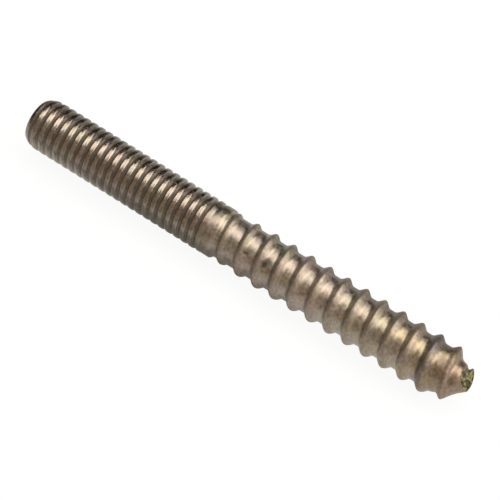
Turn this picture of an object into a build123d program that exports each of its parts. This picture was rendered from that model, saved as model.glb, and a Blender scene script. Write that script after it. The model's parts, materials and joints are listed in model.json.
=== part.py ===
import os
from math import cos, pi, radians, sin, tan

from build123d import *

# A hanger bolt: machine thread at one end, plain band, lag thread and a torn blunt point at the other.
# It lies on its side, axis along X, point towards +X, its lowest crest on z = 0. Sizes are in mm,
# and places along the bolt are measured from the machine end's face until it is laid down.

overall_length = 88.2

# Machine end, 3/8-16: smooth at the thread's outer diameter, with a crowned end
machine_diameter = 9.3
machine_length = 37.4
machine_run_out = 0.8
crown_length = 2.6
end_face_diameter = 7.5

# Plain band between the two threads
band_diameter = 9.14
band_length = 1.7

# Lag thread, right-handed, 7 turns to the inch
lag_pitch = 3.6286
lag_root_diameter = 8.0
lag_crest_diameter = 9.98
early_crest_diameter = 9.54
first_crest_diameter = 8.8
crest_width = 0.5
flank_angle = 44.0
lead_in_turns = 2.2
first_turn_angle = 300.0
ridge_sunk = 0.06

# Point: a short taper, then a torn face that leans towards one side
point_length = 5.2
torn_end_diameter = 1.8
torn_shoulder_diameter = 5.6
torn_shoulder_length = 2.2
torn_lean = 20.0
torn_side_angle = 75.0
thread_stops_short = 0.9
last_crest_share = 0.7
burr_height = 0.8

# Places along the bolt
band_end = machine_length + band_length
lag_start = band_end + (band_diameter - lag_root_diameter) / 2
lead_in_end = lag_start + lead_in_turns * lag_pitch
point_start = overall_length - point_length
shoulder = overall_length - torn_shoulder_length
thread_end = overall_length - thread_stops_short
burr_start = thread_end - lag_pitch / 2

# The root and the crest of the lag thread as chains of (place, radius), joined by straight tapers
root_line = [
    (0, lag_root_diameter / 2),
    (point_start, lag_root_diameter / 2),
    (shoulder, torn_shoulder_diameter / 2),
    (overall_length, torn_end_diameter / 2),
]


def radius_at(line, place):
    """Radius of a chain of tapers at a place along the bolt, its last taper carried on."""
    for (start, start_radius), (end, end_radius) in zip(line, line[1:]):
        if place <= end or end == line[-1][0]:
            return start_radius + (end_radius - start_radius) * (place - start) / (end - start)


full_height = (lag_crest_diameter - lag_root_diameter) / 2
crest_line = [
    (band_end, first_crest_diameter / 2),
    (lead_in_end, early_crest_diameter / 2),
    (point_start, lag_crest_diameter / 2),
    (burr_start, radius_at(root_line, burr_start) + last_crest_share * full_height),
    (thread_end, radius_at(root_line, thread_end) + burr_height),
]


def turned_core():
    """The bolt without its lag thread, turned about X and a little longer than the torn end."""
    machine_radius = machine_diameter / 2
    band_radius = band_diameter / 2
    root_radius = lag_root_diameter / 2
    crown_top = (crown_length, machine_radius)
    end_rim = (0, end_face_diameter / 2)
    stub_length = torn_end_diameter * tan(radians(torn_lean))
    stub_end = overall_length + stub_length
    outline = [
        Line((0, 0), end_rim),
        TangentArc(crown_top, end_rim, tangent=(-1, 0)),
        Polyline(
            crown_top,
            (machine_length - machine_run_out, machine_radius),
            (machine_length, band_radius),
            (band_end, band_radius),
            (lag_start, root_radius),
            *root_line[1:],
            (stub_end, radius_at(root_line, stub_end)),
            (stub_end, 0),
            (0, 0),
        ),
    ]
    return revolve(Plane.XZ * make_face(outline), Axis.X)


def ridge_corner(turn, side, outer):
    """A corner of the lag thread's section after a number of turns; side is -1 or 1 along X."""
    place = band_end + turn * lag_pitch
    angle = radians(first_turn_angle) + turn * 2 * pi
    radius = radius_at(crest_line, place)
    if outer:
        place += side * crest_width / 2
    else:
        height = radius - radius_at(root_line, place) + ridge_sunk
        place += side * (crest_width / 2 + height * tan(radians(flank_angle)))
        radius = radius_at(root_line, place) - ridge_sunk
    return Vector(place, radius * cos(angle), radius * sin(angle))


def ridge_edge(start, end, side, outer):
    """One corner's curve between two turns."""
    step = 0.001
    points = [ridge_corner(turn, side, outer) for turn in (start, (start + end) / 2, end)]
    tangents = [
        ridge_corner(turn + step, side, outer) - ridge_corner(turn - step, side, outer)
        for turn in (start, end)
    ]
    return Spline(*points, tangents=tangents)


def lag_ridge():
    """The lag thread's ridge, skinned a quarter turn at a time between its four corner curves."""
    corners = [(-1, False), (-1, True), (1, True), (1, False)]
    turns = (thread_end - band_end) / lag_pitch
    pieces = round(turns * 4)
    faces = []
    for piece in range(pieces):
        start = turns * piece / pieces
        end = turns * (piece + 1) / pieces
        edges = [ridge_edge(start, end, side, outer) for side, outer in corners]
        for edge, next_edge in zip(edges, edges[1:] + edges[:1]):
            faces.append(Face.make_surface_from_curves(edge, next_edge))
    for turn in (0, turns):
        section = [ridge_corner(turn, side, outer) for side, outer in corners]
        faces.append(make_face(Polyline(*section, close=True)).face())
    return Solid(Shell(faces))


def torn_face():
    """The leaning plane where the point broke off; its far rim is the bolt's end."""
    lean_radius = torn_end_diameter / 2
    side = Vector(0, cos(radians(torn_side_angle)), sin(radians(torn_side_angle)))
    far_rim = Vector(overall_length, 0, 0) - side * lean_radius
    normal = Vector(1, 0, 0) * cos(radians(torn_lean)) + side * sin(radians(torn_lean))
    return Plane(origin=far_rim, z_dir=normal)


def hanger_bolt():
    """The whole bolt, laid on its side with its middle over the origin."""
    core = split(turned_core(), bisect_by=torn_face(), keep=Keep.BOTTOM)
    ridge = split(lag_ridge(), bisect_by=torn_face(), keep=Keep.BOTTOM)
    bolt = core + ridge
    return Pos(-overall_length / 2, 0, -bolt.bounding_box().min.Z) * bolt


os.makedirs("parts", exist_ok=True)
export_step(hanger_bolt(), "parts/hanger_bolt.step")
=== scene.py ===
import json
from math import atan2, cos, pi, radians, sin, sqrt, tan

import bmesh
import bpy
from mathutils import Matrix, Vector, noise


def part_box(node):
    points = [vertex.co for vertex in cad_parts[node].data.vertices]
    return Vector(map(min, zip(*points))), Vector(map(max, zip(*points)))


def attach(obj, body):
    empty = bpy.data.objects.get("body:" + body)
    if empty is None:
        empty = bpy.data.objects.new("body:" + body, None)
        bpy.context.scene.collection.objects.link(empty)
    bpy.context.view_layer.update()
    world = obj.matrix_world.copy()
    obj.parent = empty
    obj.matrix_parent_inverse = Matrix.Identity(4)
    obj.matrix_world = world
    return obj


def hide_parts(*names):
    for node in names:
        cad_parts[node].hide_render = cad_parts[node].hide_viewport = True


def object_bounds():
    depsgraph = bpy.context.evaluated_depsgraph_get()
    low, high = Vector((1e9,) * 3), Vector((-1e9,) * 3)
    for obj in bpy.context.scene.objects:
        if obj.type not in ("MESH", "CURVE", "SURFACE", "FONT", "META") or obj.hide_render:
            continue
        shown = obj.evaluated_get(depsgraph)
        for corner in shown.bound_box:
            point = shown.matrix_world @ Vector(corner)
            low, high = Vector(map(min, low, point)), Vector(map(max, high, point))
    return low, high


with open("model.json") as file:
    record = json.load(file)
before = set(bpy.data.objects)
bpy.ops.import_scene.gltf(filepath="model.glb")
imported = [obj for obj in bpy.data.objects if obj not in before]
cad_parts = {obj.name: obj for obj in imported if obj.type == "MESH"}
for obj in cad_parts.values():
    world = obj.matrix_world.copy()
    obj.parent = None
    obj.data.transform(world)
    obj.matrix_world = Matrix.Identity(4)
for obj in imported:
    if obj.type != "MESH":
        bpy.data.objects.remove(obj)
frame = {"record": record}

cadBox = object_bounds()  # the solid's own box in metres, before anything is added
axisHeight = frame["record"]["mounts"][0]["pos_m"][2]
print("frame loaded")

# The bolt's sizes are in millimetres and its angles in degrees. Places along it are counted from
# the machine end's face, and angles round it from +Y towards +Z.
bolt = {
    "turnSteps": 96,
    "sheetRadius": 4.0,  # only until each point gets its own radius
    "bandRadius": 4.57,
    "meetingPlace": 38.3,  # on the plain band, where the two threads' meshes join
    "mergeDistance": 0.003,
    "sharpAngle": 50.0,
    "faceRings": 4,
}


def easeBetween(start, end, value):
    share = min(1.0, max(0.0, (value - start) / (end - start)))
    return share * share * (3 - 2 * share)


def softFloor(value, rounding):
    # the value where it is above zero, else zero, with a rounded corner between
    if value <= -rounding:
        return 0.0
    if value >= rounding:
        return value
    return (value + rounding) ** 2 / (4 * rounding)


def roundPoint(place, radius, angle):
    return Vector((place, radius * cos(angle), radius * sin(angle)))


def crestOffset(thread, place, angle, sway=0.0):
    # distance along the bolt from the nearest crest of a right-hand thread
    pitch = thread["pitch"]
    nearest = thread["crestPlace"] + pitch * (angle - radians(thread["crestAngle"])) / (2 * pi)
    return (place - nearest - sway + pitch / 2) % pitch - pitch / 2


def helixSheet(thread, firstPlace, lastPlace):
    # one pitch of rows spun a turn along the helix, then repeated turn after turn and merged
    pitch = thread["pitch"]
    halves = [*thread["rowOffsets"], pitch / 2]
    offsets = [-offset for offset in reversed(halves)] + [0.0] + halves
    start = thread["crestPlace"] - pitch * radians(thread["crestAngle"]) / (2 * pi)
    while start > firstPlace - 1.5 * pitch:
        start -= pitch
    sheet = bmesh.new()
    chain = [sheet.verts.new((start + offset, bolt["sheetRadius"], 0.0)) for offset in offsets]
    rows = [sheet.edges.new(pair) for pair in zip(chain, chain[1:])]
    steps = bolt["turnSteps"]
    bmesh.ops.spin(
        sheet, geom=chain + rows, cent=(0, 0, 0), axis=(1, 0, 0), dvec=(pitch / steps, 0, 0),
        angle=2 * pi, steps=steps, use_merge=False, use_duplicate=False,
    )
    firstTurn = [*sheet.verts, *sheet.edges, *sheet.faces]
    for turn in range(1, int((lastPlace - start) / pitch) + 3):
        copied = bmesh.ops.duplicate(sheet, geom=firstTurn)["geom"]
        verts = [part for part in copied if isinstance(part, bmesh.types.BMVert)]
        bmesh.ops.translate(sheet, vec=(turn * pitch, 0, 0), verts=verts)
    bmesh.ops.remove_doubles(sheet, verts=sheet.verts, dist=bolt["mergeDistance"])
    return sheet


def stepAngle(vert):
    # the vertex's angle round the bolt, exactly on one of the spin's steps
    step = 2 * pi / bolt["turnSteps"]
    return round(atan2(vert.co.z, vert.co.y) / step) * step


machineThread = {
    "pitch": 1.5875,
    "crestPlace": 1.72,
    "crestAngle": 97.0,
    "outerRadius": 4.65,
    "depth": 0.44,
    "crestHalf": 0.33,
    "flankAngle": 32.0,
    "rounding": 0.36,
    "runOutStart": 35.6,
    "runOutEnd": 38.1,
    "crownLength": 2.4,
    "crownRounding": 0.05,
    "endFaceRadius": 3.85,
    "rowOffsets": (0.07, 0.13, 0.19, 0.30, 0.42, 0.54, 0.62, 0.70),  # mesh rows beside the crest
}


def machineRunOut(place):
    # 0 along the machine thread, 1 where it has run out into the plain band
    return easeBetween(machineThread["runOutStart"], machineThread["runOutEnd"], place)


def machineSunk(place, angle):
    # 0 on the machine thread's crests and past its run-out, 1 in its grooves
    thread = machineThread
    run = thread["depth"] * tan(radians(thread["flankAngle"]))
    risen = (thread["crestHalf"] + run - abs(crestOffset(thread, place, angle))) / run
    sunk = softFloor(1 - softFloor(risen, thread["rounding"]), thread["rounding"])
    return sunk * (1 - machineRunOut(place))


def machineRadius(place, angle):
    thread = machineThread
    outer = thread["outerRadius"] + (bolt["bandRadius"] - thread["outerRadius"]) * machineRunOut(place)
    radius = outer - thread["depth"] * machineSunk(place, angle)
    if place >= thread["crownLength"]:
        return radius
    # a round crown takes the first crests down to the end face
    drop = thread["outerRadius"] - thread["endFaceRadius"]
    crownArc = (thread["crownLength"] ** 2 + drop**2) / (2 * drop)
    crown = thread["outerRadius"] - crownArc + sqrt(crownArc**2 - (thread["crownLength"] - place) ** 2)
    return crown - softFloor(crown - radius, thread["crownRounding"])


def machineEnd():
    sheet = helixSheet(machineThread, 0.0, bolt["meetingPlace"])
    for vert in sheet.verts:
        angle = stepAngle(vert)
        place = min(bolt["meetingPlace"], max(0.0, vert.co.x))
        vert.co = roundPoint(place, machineRadius(place, angle), angle)
    return sheet


# crestLine and coreLine are chains of straight tapers, each point a place and a radius
lagThread = {
    "pitch": 3.6286,
    "crestPlace": 39.0,
    "crestAngle": 300.0,
    "crestHalf": 0.21,
    "flankAngle": 47.0,
    "crestRounding": 0.26,
    "rootRounding": 0.26,
    "narrowFrom": 82.0,  # the ridge narrows and sharpens from here to the point
    "narrowTo": 85.5,
    "narrowShare": 0.5,
    "lastLean": 1.4,  # the last turn is pressed over towards the point
    "lastLeanPlace": 84.4,
    "lastLeanReach": (0.9, 0.1),
    "sway": 0.25,  # the rolled thread sways to and fro once a turn
    "swayAngle": 70.0,
    "crestLine": (
        (38.1, 4.10), (39.1, 4.42), (47.65, 4.80), (82.8, 4.96), (83.6, 4.84), (84.3, 4.10),
        (84.7, 4.04), (85.05, 4.24), (85.6, 3.5), (86.3, 2.9), (87.1, 2.92), (87.4, 2.3), (87.7, 0.8),
    ),
    "coreLine": (
        (0.0, 4.57), (39.1, 4.57), (39.67, 4.0), (83.0, 4.0), (86.0, 2.8), (88.2, 0.9), (90.0, 0.2),
    ),
    "noiseRadius": 1.6,
    "wander": 0.05,
    "wanderScale": 0.9,
    "dip": 0.04,
    "dipScale": 1.3,
    "dipShift": (7, 3, 1),
    "swellPlace": 86.3,  # the point is fuller on the side that tore last
    "swellReach": 1.4,
    "swellHeight": 0.42,
    "swellAngle": 98.0,
    "rowOffsets": (0.11, 0.19, 0.26, 0.36, 0.50, 0.65, 0.80, 0.94, 1.07, 1.19, 1.33, 1.55),
}


def lineAt(line, place):
    # radius of a chain of straight tapers at a place
    for (start, startRadius), (end, endRadius) in zip(line, line[1:]):
        if place <= end or end == line[-1][0]:
            share = max(0.0, (place - start) / (end - start))
            return startRadius + (endRadius - startRadius) * share


def lagSway(angle):
    return lagThread["sway"] * cos(angle - radians(lagThread["swayAngle"]))


def lagCore(place, angle):
    # radius of the lag thread's core, with the swell on one side of the point
    thread = lagThread
    near = 1 - min(1.0, abs(place - thread["swellPlace"]) / thread["swellReach"])
    facing = max(0.0, cos(angle - radians(thread["swellAngle"])))
    return lineAt(thread["coreLine"], place) + thread["swellHeight"] * easeBetween(0, 1, near) * facing


def lagRidge(place, angle):
    # radius of the nearest crest, and of its ridge at this place, above the core or below it
    thread = lagThread
    offset = crestOffset(thread, place, angle, lagSway(angle))
    crestPlace = place - offset
    along = roundPoint(crestPlace, thread["noiseRadius"], angle)
    offset += thread["wander"] * noise.noise(along * thread["wanderScale"])
    crest = lineAt(thread["crestLine"], crestPlace)
    if crestPlace > thread["crestPlace"]:
        uneven = noise.noise(along * thread["dipScale"] + Vector(thread["dipShift"]))
        crest -= thread["dip"] * abs(uneven)
    slope = tan(radians(thread["flankAngle"]))
    if offset < 0:
        fromLean = abs(crestPlace - thread["lastLeanPlace"])
        slope *= 1 + thread["lastLean"] * easeBetween(*thread["lastLeanReach"], fromLean)
    narrowed = easeBetween(thread["narrowFrom"], thread["narrowTo"], place)
    width = 1 - (1 - thread["narrowShare"]) * narrowed
    beyondCrest = softFloor(abs(offset) - thread["crestHalf"] * width, thread["crestRounding"] * width)
    return crest, crest - beyondCrest / (slope * width**0.5)


def lagRadius(place, angle):
    core = lagCore(place, angle)
    ridge = lagRidge(place, angle)[1]
    return core + softFloor(ridge - core, lagThread["rootRounding"])


def lagRise(place, angle):
    # 0 on the lag thread's root, 1 on its crest
    core = lagCore(place, angle)
    crest, ridge = lagRidge(place, angle)
    return min(1.0, max(0.0, (ridge - core) / max(0.1, crest - core)))


# The tip broke off along a face that leans over towards sideAngle; its far rim is the bolt's end
tornPoint = {
    "farRimPlace": 88.2,
    "rimRadius": 0.26,
    "lean": 30.0,
    "sideAngle": 85.0,
    "searchFrom": 84.0,
    "searchTo": 89.5,
    "searchSteps": 24,
    "rimRaggedness": 0.16,
    "rimNoisePlace": 3.0,
    "rimNoiseRadius": 2.2,
    "rimNoiseScale": 1.1,
    "rings": 14,
    "grain": 0.8,
    "grainHeight": 0.28,
    "fineScale": 2.1,  # finer grains, and flat chips, as shares of the coarse ones
    "fineShare": 0.7,
    "chipScale": 1.3,
    "chipShare": 0.5,
    "sunkShare": 0.4,
}


def tornSide(place, radius, angle):
    # how far a point lies beyond the torn face, along the bolt
    point = roundPoint(place, radius, angle)
    side = radians(tornPoint["sideAngle"])
    across = point.y * cos(side) + point.z * sin(side)
    lean = tan(radians(tornPoint["lean"]))
    return place - tornPoint["farRimPlace"] + (across + tornPoint["rimRadius"]) * lean


def tornPlace(angle):
    # where the lag thread's surface meets the torn face at one angle, found by halving
    rimNoise = roundPoint(tornPoint["rimNoisePlace"], tornPoint["rimNoiseRadius"], angle)
    ragged = tornPoint["rimRaggedness"] * noise.noise(rimNoise * tornPoint["rimNoiseScale"])
    low, high = tornPoint["searchFrom"], tornPoint["searchTo"]
    for _ in range(tornPoint["searchSteps"]):
        middle = (low + high) / 2
        if tornSide(middle, lagRadius(middle, angle), angle) > 0:
            high = middle
        else:
            low = middle
    return min(tornPoint["farRimPlace"], low) - abs(ragged)


def lagEnd():
    sheet = helixSheet(lagThread, bolt["meetingPlace"], tornPoint["farRimPlace"])
    ends = {}
    for vert in sheet.verts:
        angle = stepAngle(vert)
        if angle not in ends:
            ends[angle] = tornPlace(angle)
        place = min(ends[angle], max(bolt["meetingPlace"], vert.co.x + lagSway(angle)))
        vert.co = roundPoint(place, lagRadius(place, angle), angle)
    return sheet


def rimAt(mesh, test):
    return [edge for edge in mesh.edges if edge.is_boundary and all(test(vert) for vert in edge.verts)]


def closeEnd(mesh, rim, rings, centre):
    # fills an open rim with narrowing rings, closed at the middle
    inner = []
    for ring in range(rings):
        made = bmesh.ops.extrude_edge_only(mesh, edges=rim)["geom"]
        verts = [part for part in made if isinstance(part, bmesh.types.BMVert)]
        rim = [part for part in made if isinstance(part, bmesh.types.BMEdge) and part.is_boundary]
        share = (rings - 1 - ring) / (rings - ring)
        for vert in verts:
            vert.co = centre + (vert.co - centre) * share
        inner += verts
    bmesh.ops.pointmerge(mesh, verts=verts, merge_co=centre)
    return [vert for vert in inner if vert.is_valid]


def roughenTear(mesh, verts):
    # coarse grains, finer ones and flat chips, none past the bolt's end
    side = radians(tornPoint["sideAngle"])
    lean = radians(tornPoint["lean"])
    outwards = Vector((cos(lean), sin(lean) * cos(side), sin(lean) * sin(side)))
    for vert in verts:
        point = vert.co / tornPoint["grain"]
        fine = tornPoint["fineShare"] * noise.noise(point * tornPoint["fineScale"])
        chips = tornPoint["chipShare"] * noise.cell(point * tornPoint["chipScale"])
        rough = noise.noise(point) + fine + chips - tornPoint["sunkShare"]
        vert.co += outwards * tornPoint["grainHeight"] * rough
        vert.co.x = min(vert.co.x, tornPoint["farRimPlace"])


# pits and dark spots in the lag thread's root and on the point: place, angle, width, depth, darkness
lagSpots = (
    (42.2, 124.0, 0.60, 0.06, 0.8),
    (45.5, 124.0, 0.75, 0.12, 1.0),
    (49.3, 124.0, 1.05, 0.18, 1.0),
    (62.9, 122.0, 0.90, 0.02, 0.4),
    (70.9, 122.0, 1.10, 0.02, 0.5),
    (74.4, 121.0, 1.00, 0.02, 0.4),
    # brown stain that is partly painted shade, dimming the highlights on the last ridge and on the point
    (83.6, 99.0, 1.50, 0.00, 0.3),
    (86.0, 122.0, 1.70, 0.00, 0.3),
    # a small dent darkened with painted shade, in the notch beside the burr
    (86.7, 62.0, 0.90, 0.05, 0.9),
)
spotEdge = {
    "raggedness": 0.7,
    "noiseScale": 1.7,
    "fullShare": 0.7,  # a spot has its full depth and darkness this far in from its edge
}


def spotVert(vert, spotDark, angle):
    for spotPlace, spotAngle, width, depth, darkness in lagSpots:
        middle = roundPoint(spotPlace, lagRadius(spotPlace, radians(spotAngle)), radians(spotAngle))
        extent = width * (1 + spotEdge["raggedness"] * noise.noise(vert.co * spotEdge["noiseScale"]))
        near = 1 - (vert.co - middle).length / extent
        if near > 0:
            share = easeBetween(0, spotEdge["fullShare"], near)
            vert[spotDark] = max(vert[spotDark], share * darkness)
            vert.co -= Vector((0, cos(angle), sin(angle))) * depth * share


surfaceMarks = ("sunk", "rise", "spotDark")


def markSurface(mesh, tornVerts):
    # how deep in a groove, how high on a ridge and how dark a spot each vertex lies in, for the materials
    sunk, rise, spotDark = (mesh.verts.layers.float[name] for name in surfaceMarks)
    for vert in mesh.verts:
        place, angle = vert.co.x, atan2(vert.co.z, vert.co.y)
        if place < bolt["meetingPlace"]:
            vert[sunk] = machineSunk(place, angle)
        else:
            vert[rise] = lagRise(place, angle)
        spotVert(vert, spotDark, angle)
    torn = set(tornVerts)
    for face in mesh.faces:
        face.material_index = int(all(vert in torn for vert in face.verts))


def buildBolt():
    mesh = bmesh.new()
    for half in (machineEnd(), lagEnd()):
        carrier = bpy.data.meshes.new("half")
        half.to_mesh(carrier)
        half.free()
        mesh.from_mesh(carrier)
        bpy.data.meshes.remove(carrier)
    bmesh.ops.remove_doubles(mesh, verts=mesh.verts, dist=bolt["mergeDistance"])
    for name in surfaceMarks:
        mesh.verts.layers.float.new(name)

    flatRim = rimAt(mesh, lambda vert: vert.co.x < machineThread["crownLength"])
    closeEnd(mesh, flatRim, bolt["faceRings"], Vector((0, 0, 0)))
    tornRim = rimAt(mesh, lambda vert: vert.co.x > tornPoint["searchFrom"])
    # taken in turn round the axis, so that every run adds them up the same way
    rimPoints = {vert for edge in tornRim for vert in edge.verts}
    rimPoints = sorted(rimPoints, key=lambda vert: atan2(vert.co.z, vert.co.y))
    centre = sum((vert.co for vert in rimPoints), Vector()) / len(rimPoints)
    tornVerts = closeEnd(mesh, tornRim, tornPoint["rings"], centre)
    roughenTear(mesh, tornVerts)
    markSurface(mesh, [*tornVerts, *rimPoints])
    bmesh.ops.recalc_face_normals(mesh, faces=mesh.faces)

    # into metres, and over the solid
    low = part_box("hanger_bolt")[0]
    bmesh.ops.scale(mesh, vec=(0.001, 0.001, 0.001), verts=mesh.verts)
    bmesh.ops.translate(mesh, vec=(low.x, 0, axisHeight), verts=mesh.verts)
    triangles = sum(len(face.verts) - 2 for face in mesh.faces)
    print("bolt:", len(mesh.verts), "vertices,", triangles, "triangles")

    data = bpy.data.meshes.new("hangerBolt")
    mesh.to_mesh(data)
    mesh.free()
    data.shade_smooth()
    data.set_sharp_from_angle(angle=radians(bolt["sharpAngle"]))
    piece = bpy.data.objects.new("hangerBolt", data)
    bpy.context.collection.objects.link(piece)
    return piece


# Worn yellow zinc plate, more golden towards the point, with painted shade darkening its grooves and
# crests. Sizes are in millimetres, apart from the bumps' distance in metres. Colours are linear, and a pair
# is a value's two ends.
finish = {
    "plate": (0.305, 0.262, 0.210, 1),
    "rosy": (0.326, 0.263, 0.222, 1),
    "olive": (0.288, 0.262, 0.192, 1),
    "gold": (0.317, 0.256, 0.170, 1),
    # dark colour of the painted shade in the grooves and on the crests, and of the grime in the spots
    "shadeAndGrime": (0.030, 0.020, 0.012, 1),
    "stain": (0.085, 0.080, 0.095, 1),
    "pointTint": (0.84, 0.77, 0.68, 1),
    # patches: size, shift of the pattern, and the noise where they begin and where they are full
    "rosyPatches": (5.0, 0.0, 0.42, 0.62),
    "olivePatches": (3.5, 40.0, 0.52, 0.68),
    "goldPatches": (3.0, 80.0, 0.38, 0.62),
    "noiseSpan": (0.30, 0.70),
    "mottleSize": 0.55,
    "mottleShade": (0.82, 1.16),
    "streakSize": 0.22,
    "streakShade": (0.88, 1.12),
    "streakRelief": 0.4,
    "mottleRelief": 0.6,
    "bumpStrength": 0.42,
    "bumpDistance": 0.00005,
    # along the bolt
    "goldPlaces": (62.0, 76.0),
    "goldShare": (0.12, 0.95),
    "goldEnds": (84.5, 81.0),
    "goldAtEnd": 0.3,
    "pointPlaces": (80.0, 83.5),
    "stainPlace": 80.6,
    "stainWidth": 1.6,
    "stainWaver": 2.4,
    "stainShare": 0.6,
    "machineShade": 0.82,
    "shadePlaces": (39.2, 38.2),
    "machineRoughness": -0.12,
    "glossPlaces": (36.4, 35.0),
    # painted shade darkens the machine thread's grooves, strongest along the side of the bolt that faces
    # the camera
    "edgeNoiseSize": 0.9,
    "shadeWaver": 0.25,
    "grooveShadeSpan": (0.40, 1.0),
    "shadeSide": 115.0,
    "shadeReach": (3.2, 4.2),
    "shadeStrength": (0.40, 0.84),
    "spotDarkening": 0.95,
    # painted shade darkens the lag thread's crests
    "crestShade": 0.07,
    "ridgeTop": (0.60, 1.0),
    "darkenedRoughness": 0.75,
    "darkenedMetallic": 0.25,
    "roughness": (0.30, 0.45),
    "crestRoughness": 0.50,
    "flankRise": (0.10, 0.60),
}


def addNode(tree, kind, sockets=None, **settings):
    node = tree.nodes.new("ShaderNode" + kind)
    for name, value in settings.items():
        setattr(node, name, value)
    for key, value in (sockets or {}).items():
        if isinstance(value, bpy.types.NodeSocket):
            tree.links.new(value, node.inputs[key])
        else:
            node.inputs[key].default_value = value
    return node


def mixColour(tree, share, first, second, blend="MIX"):
    sockets = {0: share, 6: first, 7: second}
    return addNode(tree, "Mix", sockets, data_type="RGBA", blend_type=blend).outputs[2]


def mixValue(tree, share, first, second):
    return addNode(tree, "Mix", {0: share, 2: first, 3: second}, data_type="FLOAT").outputs[0]


def maths(tree, operation, *values):
    return addNode(tree, "Math", dict(enumerate(values)), operation=operation).outputs[0]


def vectorMaths(tree, operation, *values):
    return addNode(tree, "VectorMath", dict(enumerate(values)), operation=operation).outputs[0]


def reachTowards(tree, place, direction):
    # how far a place lies in a direction
    sockets = {0: place, 1: direction}
    return addNode(tree, "VectorMath", sockets, operation="DOT_PRODUCT").outputs["Value"]


def remap(tree, value, fromLow, fromHigh, toLow=0.0, toHigh=1.0):
    sockets = {"Value": value, "From Min": fromLow, "From Max": fromHigh, "To Min": toLow, "To Max": toHigh}
    return addNode(tree, "MapRange", sockets, interpolation_type="SMOOTHSTEP").outputs[0]


def fromMiddle(place):
    # materials count places from the bolt's middle instead of the machine end's face
    return place - (cadBox[1].x - cadBox[0].x) * 500


def remapAlong(tree, along, places, low=0.0, high=1.0):
    return remap(tree, along, fromMiddle(places[0]), fromMiddle(places[1]), low, high)


def grain(tree, place, size, detail=2.0, shift=0.0):
    # noise of a feature size in millimetres; shift gives each use its own pattern
    moved = vectorMaths(tree, "ADD", place, (shift, shift, shift))
    return addNode(tree, "TexNoise", {"Vector": moved, "Scale": 1 / size, "Detail": detail}).outputs["Fac"]


def waver(tree, noiseValue, width):
    # noise, which lies about a half, brought to sway about zero
    return maths(tree, "MULTIPLY", maths(tree, "SUBTRACT", noiseValue, 0.5), width)


def patches(tree, place, kind):
    size, shift, begin, full = finish[kind]
    return remap(tree, grain(tree, place, size, 3, shift), begin, full)


def aroundAxis(tree, place):
    # the place drawn out round the axis, so that a pattern on it runs in streaks round the bolt
    parts = addNode(tree, "SeparateXYZ", {0: place}).outputs
    across = addNode(tree, "CombineXYZ", {"Y": parts["Y"], "Z": parts["Z"]}).outputs[0]
    spread = vectorMaths(tree, "MULTIPLY", vectorMaths(tree, "NORMALIZE", across), (0.0, 0.5, 0.5))
    lengthwise = addNode(tree, "CombineXYZ", {"X": parts["X"]}).outputs[0]
    return vectorMaths(tree, "ADD", spread, lengthwise)


def agedPlate():
    # colour, roughness and relief of the aged plating; Place is in millimetres from the axis
    group = bpy.data.node_groups.new("agedPlate", "ShaderNodeTree")
    sockets = {
        "Place": ("INPUT", "NodeSocketVector"),
        "Gilding": ("INPUT", "NodeSocketFloat"),
        "Colour": ("OUTPUT", "NodeSocketColor"),
        "Roughness": ("OUTPUT", "NodeSocketFloat"),
        "Relief": ("OUTPUT", "NodeSocketFloat"),
    }
    for name, (way, kind) in sockets.items():
        group.interface.new_socket(name, in_out=way, socket_type=kind)
    given = group.nodes.new("NodeGroupInput").outputs
    result = group.nodes.new("NodeGroupOutput").inputs
    place = given["Place"]

    colour = mixColour(group, patches(group, place, "rosyPatches"), finish["plate"], finish["rosy"])
    colour = mixColour(group, patches(group, place, "olivePatches"), colour, finish["olive"])
    gilded = maths(group, "MULTIPLY", patches(group, place, "goldPatches"), given["Gilding"])
    colour = mixColour(group, gilded, colour, finish["gold"])

    mottle = grain(group, place, finish["mottleSize"], 4, 20.0)
    streak = grain(group, aroundAxis(group, place), finish["streakSize"], 3, 11.0)
    mottleShade = remap(group, mottle, *finish["noiseSpan"], *finish["mottleShade"])
    streakShade = remap(group, streak, *finish["noiseSpan"], *finish["streakShade"])
    colour = vectorMaths(group, "MULTIPLY", colour, maths(group, "MULTIPLY", mottleShade, streakShade))
    streakRelief = maths(group, "MULTIPLY", streak, finish["streakRelief"])
    mottleRelief = maths(group, "MULTIPLY", mottle, finish["mottleRelief"])

    rough = remap(group, mottle, *finish["noiseSpan"], *finish["roughness"])
    group.links.new(colour, result["Colour"])
    group.links.new(rough, result["Roughness"])
    group.links.new(maths(group, "ADD", streakRelief, mottleRelief), result["Relief"])
    return group


def startMaterial(name):
    material = bpy.data.materials.new(name)
    material.use_nodes = True
    tree = material.node_tree
    # millimetres from the bolt's axis
    sockets = {
        "Vector": addNode(tree, "TexCoord").outputs["Object"],
        "Location": (0, 0, -axisHeight * 1000),
        "Scale": (1000, 1000, 1000),
    }
    return material, tree, tree.nodes["Principled BSDF"], addNode(tree, "Mapping", sockets).outputs[0]


def marked(tree, name):
    return addNode(tree, "Attribute", attribute_name=name).outputs["Fac"]


# painted shade in the machine thread's grooves, strongest on the side facing the camera, and the darkness
# of the spots
def shadeAndSpotShare(tree, place, edgeNoise):
    groove = maths(tree, "ADD", marked(tree, "sunk"), waver(tree, edgeNoise, finish["shadeWaver"]))
    side = radians(finish["shadeSide"])
    towardsSide = reachTowards(tree, place, (0.0, cos(side), sin(side)))
    sideStrength = remap(tree, towardsSide, *finish["shadeReach"], *finish["shadeStrength"])
    grooveShade = maths(tree, "MULTIPLY", remap(tree, groove, *finish["grooveShadeSpan"]), sideStrength)
    inSpots = maths(tree, "MULTIPLY", marked(tree, "spotDark"), finish["spotDarkening"])
    return maths(tree, "MAXIMUM", grooveShade, inSpots)


def stainShare(tree, along, edgeNoise):
    # a blue-dark band just short of the point
    distance = maths(tree, "ABSOLUTE", maths(tree, "SUBTRACT", along, fromMiddle(finish["stainPlace"])))
    wavy = maths(tree, "ADD", distance, waver(tree, edgeNoise, finish["stainWaver"]))
    return maths(tree, "MULTIPLY", remap(tree, wavy, finish["stainWidth"], 0.0), finish["stainShare"])


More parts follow.
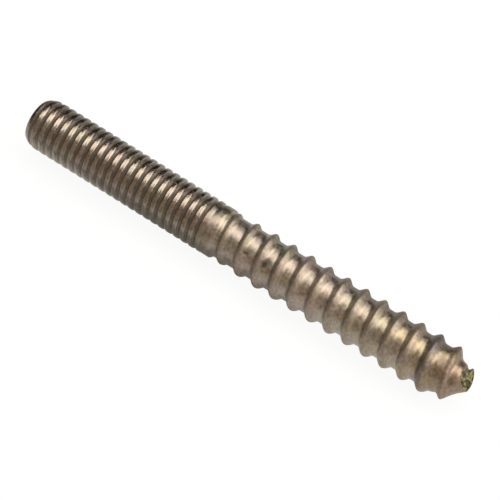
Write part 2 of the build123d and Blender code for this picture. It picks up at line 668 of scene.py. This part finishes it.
def platedSteel(plating):
    material, tree, shader, place = startMaterial("platedSteel")
    along = addNode(tree, "SeparateXYZ", {0: place}).outputs["X"]
    rise = marked(tree, "rise")
    edgeNoise = grain(tree, place, finish["edgeNoiseSize"], 3, 5.0)
    # painted shade in the grooves, with the grime and painted shade of the spots
    shadeAndGrime = shadeAndSpotShare(tree, place, edgeNoise)

    gilding = remapAlong(tree, along, finish["goldPlaces"], *finish["goldShare"])
    fading = remapAlong(tree, along, finish["goldEnds"], finish["goldAtEnd"], 1.0)
    sockets = {"Place": place, "Gilding": maths(tree, "MULTIPLY", gilding, fading)}
    plate = addNode(tree, "Group", sockets, node_tree=plating).outputs

    # the machine thread is darker and glossier than the rest
    shade = remapAlong(tree, along, finish["shadePlaces"], 1.0, finish["machineShade"])
    colour = vectorMaths(tree, "MULTIPLY", plate["Colour"], shade)
    point = remapAlong(tree, along, finish["pointPlaces"])
    colour = mixColour(tree, point, colour, finish["pointTint"], "MULTIPLY")
    colour = mixColour(tree, stainShare(tree, along, edgeNoise), colour, finish["stain"])
    # painted shade darkens the lag thread's crests
    ridge = maths(tree, "MULTIPLY", remap(tree, rise, *finish["ridgeTop"]), finish["crestShade"])
    colour = mixColour(tree, ridge, colour, finish["shadeAndGrime"])
    colour = mixColour(tree, shadeAndGrime, colour, finish["shadeAndGrime"])
    tree.links.new(colour, shader.inputs["Base Color"])
    metal = remap(tree, shadeAndGrime, 0.0, 1.0, 1.0, finish["darkenedMetallic"])
    tree.links.new(metal, shader.inputs["Metallic"])

    onMachine = remapAlong(tree, along, finish["glossPlaces"])
    gloss = maths(tree, "MULTIPLY", onMachine, finish["machineRoughness"])
    rough = maths(tree, "ADD", plate["Roughness"], gloss)
    rough = mixValue(tree, remap(tree, rise, *finish["flankRise"]), rough, finish["crestRoughness"])
    rough = mixValue(tree, shadeAndGrime, rough, finish["darkenedRoughness"])
    tree.links.new(rough, shader.inputs["Roughness"])
    sockets = {
        "Strength": finish["bumpStrength"],
        "Distance": finish["bumpDistance"],
        "Height": plate["Relief"],
    }
    tree.links.new(addNode(tree, "Bump", sockets).outputs[0], shader.inputs["Normal"])
    return material


# Bare metal where the tip broke off: bright chips, duller between, and painted shade in the hollows of its
# bumps
tear = {
    "bright": (0.40, 0.365, 0.19, 1),
    "dull": (0.14, 0.125, 0.05, 1),
    "hollowShade": (0.05, 0.042, 0.018, 1),
    "chipScale": 1.3,
    "chipEdge": (0.1, 0.5),
    "speckleSize": 0.7,
    "hollowSpan": (0.56, 0.40),
    "metallic": (0.6, 0.3),
    "speckleSpan": (0.3, 0.7),
    "roughness": (0.65, 0.40),
    "bumpStrength": 0.8,
    "bumpDistance": 0.0002,
}


def tornSteel():
    material, tree, shader, place = startMaterial("tornSteel")
    speckle = grain(tree, place, tear["speckleSize"], 3, 9.0)
    hollowShade = remap(tree, speckle, *tear["hollowSpan"])
    chips = addNode(tree, "TexVoronoi", {"Vector": place, "Scale": tear["chipScale"]})
    fromChip = remap(tree, chips.outputs["Distance"], *tear["chipEdge"])
    colour = mixColour(tree, fromChip, tear["bright"], tear["dull"])
    # painted shade where the bumps sink
    colour = mixColour(tree, hollowShade, colour, tear["hollowShade"])
    tree.links.new(colour, shader.inputs["Base Color"])
    tree.links.new(remap(tree, hollowShade, 0.0, 1.0, *tear["metallic"]), shader.inputs["Metallic"])
    rough = remap(tree, speckle, *tear["speckleSpan"], *tear["roughness"])
    tree.links.new(rough, shader.inputs["Roughness"])
    sockets = {"Strength": tear["bumpStrength"], "Distance": tear["bumpDistance"], "Height": speckle}
    tree.links.new(addNode(tree, "Bump", sockets).outputs[0], shader.inputs["Normal"])
    return material


piece = buildBolt()
piece.data.materials.append(platedSteel(agedPlate()))
piece.data.materials.append(tornSteel())

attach(piece, "root")
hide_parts("hanger_bolt")
print("bolt placed")

# Floor, camera, walls and lamps, in metres, degrees and watts; the lens and sensor in millimetres
studio = {
    "floorSize": 6.0,
    "floorColour": (0.86, 0.86, 0.86, 1),
    "floorRoughness": 0.9,
    "floorGlow": 0.93,
    # what the bolt reflects of the floor: it dims beyond the bolt and close beside it
    "beyondFloor": (0.012, 0.07),
    "farFloor": 0.08,
    "besideFloor": (0.006, 0.016),
    "closeFloor": 0.4,
    "azimuth": 35.73,
    "elevation": 59.56,
    "aimHeight": 0.00503,
    "cameraDistance": 0.3735,
    "lens": 161.4,
    "sensorWidth": 36,
    "shift": (0.0063, -0.0022),
    "farWall": (0.03, 0.03, 0.03, 1),
    "nearWall": (0.56, 0.46, 0.365, 1),
    "wallSpan": (-0.9, 0.5),
    "leftSpan": (-0.75, -0.1),
    "leftShade": 0.9,
    "lampColour": (1, 0.97, 0.93),
    # a long soft box over each half of the bolt, and a low one off the point:
    # place, size, power and direction
    "lamps": {
        "machineBox": ((-0.395, 0.075, 0.56), (0.41, 0.43), 2.0, (0, 0, -1)),
        "lagBox": ((0.53, 0.325, 0.56), (1.44, 0.67), 10.4, (0, 0, -1)),
        "sideBox": ((1.15, 0.42, 0.36), (0.60, 0.50), 4.2, (-1.15, -0.42, -0.36)),
    },
}


def paintFloor():
    # white to the camera, and shaded in the bolt's reflections
    paint = bpy.data.materials.new("floorPaint")
    paint.use_nodes = True
    tree = paint.node_tree
    matt = tree.nodes["Principled BSDF"]
    matt.inputs["Base Color"].default_value = studio["floorColour"]
    matt.inputs["Roughness"].default_value = studio["floorRoughness"]
    azimuth = radians(studio["azimuth"])
    spot = addNode(tree, "NewGeometry").outputs["Position"]
    beyond = reachTowards(tree, spot, (-sin(azimuth), cos(azimuth), 0.0))
    beside = maths(tree, "ABSOLUTE", beyond)
    farShade = remap(tree, beyond, *studio["beyondFloor"], 1.0, studio["farFloor"])
    closeShade = remap(tree, beside, *studio["besideFloor"], studio["closeFloor"], 1.0)
    reflected = maths(tree, "MULTIPLY", farShade, closeShade)
    paths = addNode(tree, "LightPath").outputs
    strength = maths(tree, "MAXIMUM", reflected, paths["Is Camera Ray"])
    glow = addNode(tree, "Emission", {"Strength": strength})
    seen = maths(tree, "MAXIMUM", paths["Is Camera Ray"], paths["Is Glossy Ray"])
    share = maths(tree, "MULTIPLY", seen, studio["floorGlow"])
    blend = addNode(tree, "MixShader", {0: share, 1: matt.outputs[0], 2: glow.outputs[0]})
    tree.links.new(blend.outputs[0], tree.nodes["Material Output"].inputs[0])
    return paint


def addFloor():
    sheet = bmesh.new()
    bmesh.ops.create_grid(sheet, x_segments=1, y_segments=1, size=studio["floorSize"] / 2)
    data = bpy.data.meshes.new("floor")
    sheet.to_mesh(data)
    sheet.free()
    data.materials.append(paintFloor())
    floor = bpy.data.objects.new("floor", data)
    bpy.context.collection.objects.link(floor)


def addLamp(name, place, size, power, towards):
    lamp = bpy.data.lights.new(name, "AREA")
    lamp.shape = "RECTANGLE"
    lamp.size, lamp.size_y = size
    lamp.energy = power
    lamp.color = studio["lampColour"]
    holder = bpy.data.objects.new(name, lamp)
    holder.location = place
    holder.rotation_euler = Vector(towards).to_track_quat("-Z", "Y").to_euler()
    bpy.context.collection.objects.link(holder)


def addRoom():
    # pale round the camera's side, dim beyond the bolt, white where the camera sees it
    world = bpy.data.worlds.new("room")
    bpy.context.scene.world = world
    world.use_nodes = True
    tree = world.node_tree
    direction = addNode(tree, "TexCoord").outputs["Generated"]
    azimuth = radians(studio["azimuth"])
    nearness = reachTowards(tree, direction, (sin(azimuth), -cos(azimuth), 0.0))
    sideways = addNode(tree, "SeparateXYZ", {0: direction}).outputs["X"]
    leftShade = remap(tree, sideways, *studio["leftSpan"], studio["leftShade"], 1.0)
    shade = maths(tree, "MULTIPLY", remap(tree, nearness, *studio["wallSpan"]), leftShade)
    light = mixColour(tree, shade, studio["farWall"], studio["nearWall"])
    seen = addNode(tree, "LightPath").outputs["Is Camera Ray"]
    tree.links.new(mixColour(tree, seen, light, (1, 1, 1, 1)), tree.nodes["Background"].inputs["Color"])


def addCamera():
    azimuth, elevation = radians(studio["azimuth"]), radians(studio["elevation"])
    back = Vector((sin(azimuth) * cos(elevation), -cos(azimuth) * cos(elevation), sin(elevation)))
    aim = (cadBox[0] + cadBox[1]) / 2
    aim.z = studio["aimHeight"]
    lens = bpy.data.cameras.new("camera")
    lens.lens = studio["lens"]
    lens.sensor_width = studio["sensorWidth"]
    lens.shift_x, lens.shift_y = studio["shift"]
    lens.clip_start, lens.clip_end = 0.01, 50
    camera = bpy.data.objects.new("camera", lens)
    camera.location = aim + back * studio["cameraDistance"]
    camera.rotation_euler = (-back).to_track_quat("-Z", "Y").to_euler()
    bpy.context.collection.objects.link(camera)
    bpy.context.scene.camera = camera


addFloor()
for name, (place, size, power, towards) in studio["lamps"].items():
    addLamp(name, place, size, power, towards)
addRoom()
addCamera()
bpy.context.scene.view_settings.view_transform = "Standard"

print("studio ready")
